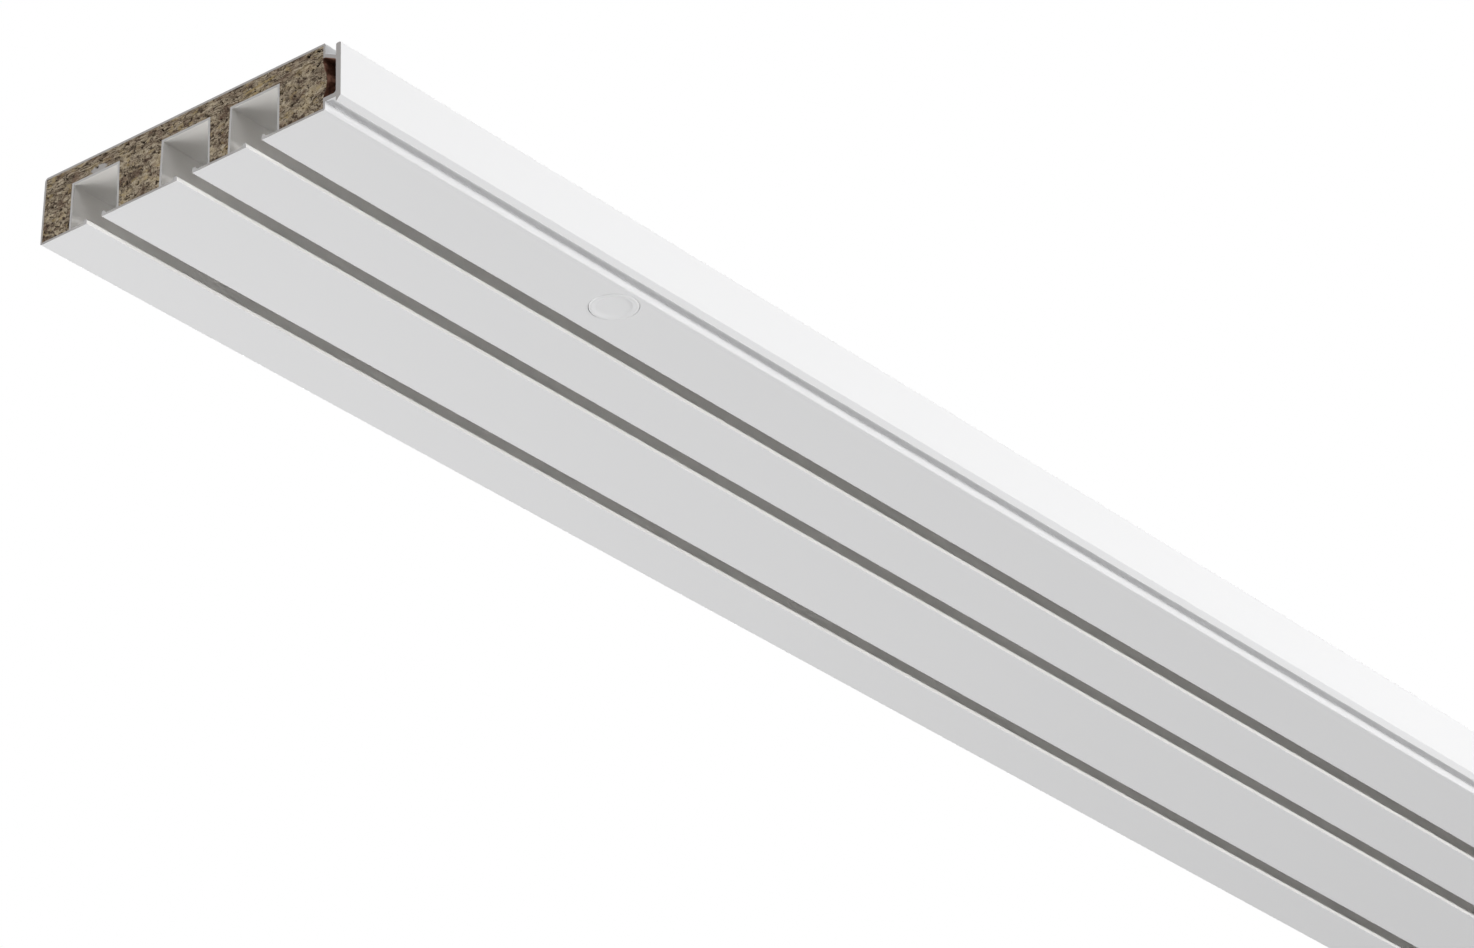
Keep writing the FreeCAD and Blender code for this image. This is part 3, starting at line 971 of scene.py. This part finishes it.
class CURTAIN_OT_jacket(bpy.types.Operator):
    """Build the plastic jacket: skins, channel linings, beaded lips, webs and flange"""

    bl_idname = "curtain.jacket"
    bl_label = "Plastic Jacket"

    def execute(self, context):
        section = context.scene.track_section
        caps = context.scene.track_caps
        finishes = context.scene.track_finishes
        mesh = bmesh.new()
        outlines = jacket_outside(section), jacket_inside(section)
        ends = ([], [])
        for outline in outlines:
            rings = [ring_at(mesh, x, outline) for x in (NEAR_END, FAR_END)]
            tube_walls(mesh, rings)
            for end, ring in zip(ends, rings):
                end += ring
        for end in ends:
            close_end(mesh, outlines, end)
        piece = object_from(mesh, "jacket_extrusion")

        # Each hole runs one skin's thickness past the skin that it goes through
        holes = bmesh.new()
        seat = CAP_RADIUS + caps.seat_gap
        for x, y in cap_places():
            cylinder(holes, x, y, UNDERSIDE - section.skin, UNDERSIDE + 2 * section.skin, seat)
            cylinder(holes, x, y, -2 * section.skin, section.skin, caps.screw_hole / 2)
        drill(piece, holes)
        for polygon in piece.data.polygons:
            polygon.material_index = jacket_zone(section, polygon)
        materials = (
            plastic_finish("jacket_plastic", finishes.plastic, finishes.shaded_plastic_cut, SATIN),
            # Inside the channels: painted paler, painted light, with dust and painted shade
            lining_finish("lining_plastic", section, finishes),
            # The front pocket: painted shade
            painted_shade_finish("pocket_film", finishes.shade_brown),
            # The lips' faces inside the slots: painted shade
            plastic_finish("slot_plastic", finishes.slot, finishes.slot, SATIN),
        )
        finish_piece(piece, materials, "plastic_jacket")
        return {"FINISHED"}


def core_stations(board):
    """Places along the track of the core's rings, close together at both ends."""
    close = [board.grid * step for step in range(CLOSE_RINGS)]
    return [NEAR_END + step for step in close] + [FAR_END - step for step in reversed(close)]


def core_ring(mesh, x, section, board):
    """One ring of the core's section, its bare edge rough between the webs."""
    low, high = window(section)
    points = core_underside(section) + [
        (section.skin, BOARD_HEIGHT - section.skin),
        (section.skin, high),
    ]
    for row in range(EDGE_ROWS + 1):
        share = row / EDGE_ROWS
        up = high + (low - high) * share
        spot = Vector((x, up, 0))
        rough = noise.noise(spot / EDGE_WAVE) + EDGE_FINE_SHARE * noise.noise(spot / EDGE_FINE_WAVE)
        fade = min(row, EDGE_ROWS - row, EDGE_FADE) / EDGE_FADE
        swell = board.edge_bulge * math.cos(2 * math.pi * share ** EDGE_SAG)
        points.append((swell + board.edge_relief * rough * fade, up))
    points.append((section.skin, low))
    return ring_at(mesh, x, points)


def wave(point, width, height, layer):
    """Smooth noise over a sawn end, one wave to so many millimetres each way."""
    return noise.noise(Vector((point.x / (width * MM), point.y / (height * MM), layer)))


def torn(point, board):
    """How far the sawn end lies back at a point: chips torn a little, gaps between them deep."""
    chip = wave(point, *TORN_CHIPS)
    gap = wave(point, *TORN_GAPS) + FINE_GAP_SHARE * wave(point, *FINE_GAPS)
    pit = min(max((gap - PIT_START) / PIT_RISE, 0), 1)
    return board.chip_relief * max(chip, 0) + board.pit_depth * pit * pit


def sawn_end(mesh, ring, x, inward, board):
    """Fills one end of the core with a fine net, torn and pitted as the saw left it."""
    draw = random.Random(f"sawn end {inward}")
    border = [Vector((vertex.co.y, vertex.co.z)) for vertex in ring]
    count = len(border)
    edges = [(index, (index + 1) % count) for index in range(count)]
    net = list(border)
    columns = int((CORE_HIGH.y - CORE_LOW.y) / board.grid)
    rows = int((CORE_HIGH.z - CORE_LOW.z) / board.grid)
    for column in range(1, columns):
        for row in range(1, rows):
            across = CORE_LOW.y + (column + draw.uniform(-NET_JITTER, NET_JITTER)) * board.grid
            up = CORE_LOW.z + (row + draw.uniform(-NET_JITTER, NET_JITTER)) * board.grid
            net.append(Vector((across, up)))
    points, _, faces, origins, _, _ = geometry.delaunay_2d_cdt(
        net, edges, [], NET_INSIDE_BORDER, NET_WELD
    )
    vertices = []
    for point, origin in zip(points, origins):
        known = [index for index in origin if index < count]
        if known:
            vertices.append(ring[known[0]])
        else:
            vertices.append(mesh.verts.new((x + inward * torn(point, board), point.x, point.y)))
    for face in faces:
        mesh.faces.new([vertices[corner] for corner in face]).material_index = SAWN
    loose = [vertex for vertex in mesh.verts if not vertex.link_faces]
    bmesh.ops.delete(mesh, geom=loose, context="VERTS")


class CURTAIN_OT_core(bpy.types.Operator):
    """Build the chipboard core, with torn chips on its sawn ends and its bare front edge"""

    bl_idname = "curtain.core"
    bl_label = "Chipboard Core"

    def execute(self, context):
        section = context.scene.track_section
        caps = context.scene.track_caps
        board = context.scene.track_board
        finishes = context.scene.track_finishes
        mesh = bmesh.new()
        rings = [core_ring(mesh, x, section, board) for x in core_stations(board)]
        tube_walls(mesh, rings, BONDED)
        sawn_end(mesh, rings[0], NEAR_END, 1, board)
        sawn_end(mesh, rings[-1], FAR_END, -1, board)
        piece = object_from(mesh, "core_strip")

        holes = bmesh.new()
        floor = UNDERSIDE + caps.counterbore_depth
        for x, y in cap_places():
            cylinder(holes, x, y, UNDERSIDE, floor, caps.counterbore / 2)
        drill(piece, holes)
        shanks = bmesh.new()
        for x, y in cap_places():
            cylinder(shanks, x, y, floor - section.skin, section.skin, caps.screw_hole / 2)
        drill(piece, shanks)
        materials = (
            chipboard_finish("chipboard", finishes, board),
            # The core's long faces, the bare edge in the pocket among them: painted shade
            painted_shade_finish("core_film", finishes.shade_brown),
        )
        finish_piece(piece, materials, "chipboard_core")
        return {"FINISHED"}


def cap_profile(section, caps):
    """Half section of a cap as (radius, up), from the middle of its face to the middle of its back."""
    skirt = caps.counterbore / 2 - caps.skirt_gap
    slope_top = CAP_RADIUS - caps.rim
    slope_foot = slope_top - caps.dish_slope
    face = caps.dish_depth - caps.rise
    back = face + caps.plate
    soft = caps.skirt_radius
    return rounded((
        (0, face, 0),
        (slope_foot, face, caps.dish_radius),
        (slope_top, -caps.rise, caps.dish_radius),
        (CAP_RADIUS, -caps.rise, caps.rim_radius),
        (CAP_RADIUS, section.skin, 0),
        (skirt, section.skin, 0),
        (skirt, caps.skirt_height, soft),
        (skirt - caps.skirt_wall, caps.skirt_height, soft),
        (skirt - caps.skirt_wall, back, soft),
        (0, back, 0),
    ))


def turn(mesh, profile, x, y):
    """Turns a half section about an upright axis; its first and last points lie on the axis."""
    axis = Vector((x, y, UNDERSIDE))
    first, *middle, last = profile
    angles = [2 * math.pi * step / CAP_STEPS for step in range(CAP_STEPS)]
    rings = []
    for radius, up in middle:
        spots = [Vector((radius * math.cos(angle), radius * math.sin(angle), up)) for angle in angles]
        rings.append([mesh.verts.new(axis + spot) for spot in spots])
    tube_walls(mesh, rings)
    for tip, ring in ((first, rings[0]), (last, rings[-1])):
        pole = mesh.verts.new(axis + Vector((0, 0, tip[1])))
        for index in range(CAP_STEPS):
            mesh.faces.new((pole, ring[index], ring[(index + 1) % CAP_STEPS]))


class CURTAIN_OT_caps(bpy.types.Operator):
    """Build the round caps that close the screw holes"""

    bl_idname = "curtain.caps"
    bl_label = "Screw Caps"

    def execute(self, context):
        section = context.scene.track_section
        caps = context.scene.track_caps
        finishes = context.scene.track_finishes
        material = plastic_finish("cap_plastic", finishes.cap, finishes.cap, GLOSS)
        profile = cap_profile(section, caps)
        for number, ((x, y), node) in enumerate(zip(cap_places(), CAP_NODES), start=1):
            mesh = bmesh.new()
            turn(mesh, profile, x, y)
            piece = object_from(mesh, f"cap_turned_{number}")
            finish_piece(piece, (material,), node)
        return {"FINISHED"}


def build_floor(stage, finishes):
    """A wide round floor below the camera."""
    mesh = bmesh.new()
    bmesh.ops.create_circle(mesh, cap_ends=True, segments=FLOOR_STEPS, radius=FLOOR_RADIUS)
    floor = object_from(mesh, "studio_floor")
    floor.location.z = -stage.floor_drop
    floor.data.materials.append(floor_finish("studio_floor", finishes.floor, finishes.floor_glow))


def light_world(scene, stage):
    """Even light for the object; plain white where the camera or a reflection sees it."""
    scene.world = bpy.data.worlds.new("studio")
    sheet = NodeSheet(scene.world)
    seen = seen_directly(sheet)
    strength = seen + (1 - seen) * stage.sky
    sky = sheet.node("ShaderNodeBackground", {}, {"Color": opaque(WHITE), "Strength": strength})
    sheet.node("ShaderNodeOutputWorld", {}, {"Surface": sky})


def soft_box(scene, stage, name):
    """A square area light that faces the point of the camera's aim and does not show itself."""
    spot = Vector(getattr(stage, f"{name}_place"))
    light = bpy.data.lights.new(f"{name}_box", "AREA")
    light.size = getattr(stage, f"{name}_side")
    light.energy = getattr(stage, f"{name}_power")
    box = bpy.data.objects.new(f"{name}_box", light)
    box.location = spot
    box.rotation_euler = (Vector(stage.camera_aim) - spot).to_track_quat("-Z", "Y").to_euler()
    box.visible_camera = False
    scene.collection.objects.link(box)


def aim_camera(scene, stage):
    """The photo's camera: below the track at its near end, looking up along it."""
    lens = bpy.data.cameras.new("photo_camera")
    lens.sensor_fit = "HORIZONTAL"
    lens.sensor_width = SENSOR_WIDTH
    lens.lens = FOCAL_PIXELS / PHOTO_WIDTH * SENSOR_WIDTH
    lens.clip_end = VIEW_REACH
    camera = bpy.data.objects.new("photo_camera", lens)
    spot = Vector(stage.camera_place)
    look = (Vector(stage.camera_aim) - spot).to_track_quat("-Z", "Y").to_matrix()
    roll = Matrix.Rotation(stage.camera_roll, 3, "Z")
    camera.matrix_world = Matrix.Translation(spot) @ (look @ roll).to_4x4()
    scene.collection.objects.link(camera)
    scene.camera = camera


class CURTAIN_OT_stage(bpy.types.Operator):
    """Set the floor, the soft light, the white background and the photo's camera"""

    bl_idname = "curtain.stage"
    bl_label = "Studio"

    def execute(self, context):
        scene = context.scene
        stage = scene.track_stage
        build_floor(stage, scene.track_finishes)
        light_world(scene, stage)
        for name in SOFT_BOXES:
            soft_box(scene, stage, name)
        aim_camera(scene, stage)
        scene.view_settings.view_transform = "Standard"
        return {"FINISHED"}


class CURTAIN_PT_builder(bpy.types.Panel):
    """Lists the steps that build the track and its studio"""

    bl_idname = "CURTAIN_PT_builder"
    bl_label = "Curtain Track"
    bl_space_type = "VIEW_3D"
    bl_region_type = "UI"
    bl_category = "Curtain Track"

    def draw(self, context):
        for operator in OPERATORS:
            self.layout.operator(operator.bl_idname)
        for name in GROUPS:
            group = getattr(context.scene, name)
            box = self.layout.box()
            for prop in group.bl_rna.properties:
                if prop.identifier not in ("rna_type", "name"):
                    box.prop(group, prop.identifier)


GROUPS = {
    "track_section": SectionSizes,
    "track_caps": CapSizes,
    "track_board": BoardSizes,
    "track_finishes": Finishes,
    "track_stage": StageSettings,
}
OPERATORS = (CURTAIN_OT_jacket, CURTAIN_OT_core, CURTAIN_OT_caps, CURTAIN_OT_stage)
CLASSES = (*GROUPS.values(), *OPERATORS, CURTAIN_PT_builder)


def register():
    for item in CLASSES:
        bpy.utils.register_class(item)
    for name, group in GROUPS.items():
        setattr(bpy.types.Scene, name, PointerProperty(type=group))


def unregister():
    for name in GROUPS:
        delattr(bpy.types.Scene, name)
    for item in reversed(CLASSES):
        bpy.utils.unregister_class(item)


def main():
    register()
    bpy.ops.curtain.jacket()
    bpy.ops.curtain.core()
    bpy.ops.curtain.caps()
    bpy.ops.curtain.stage()


if __name__ == "__main__":
    main()
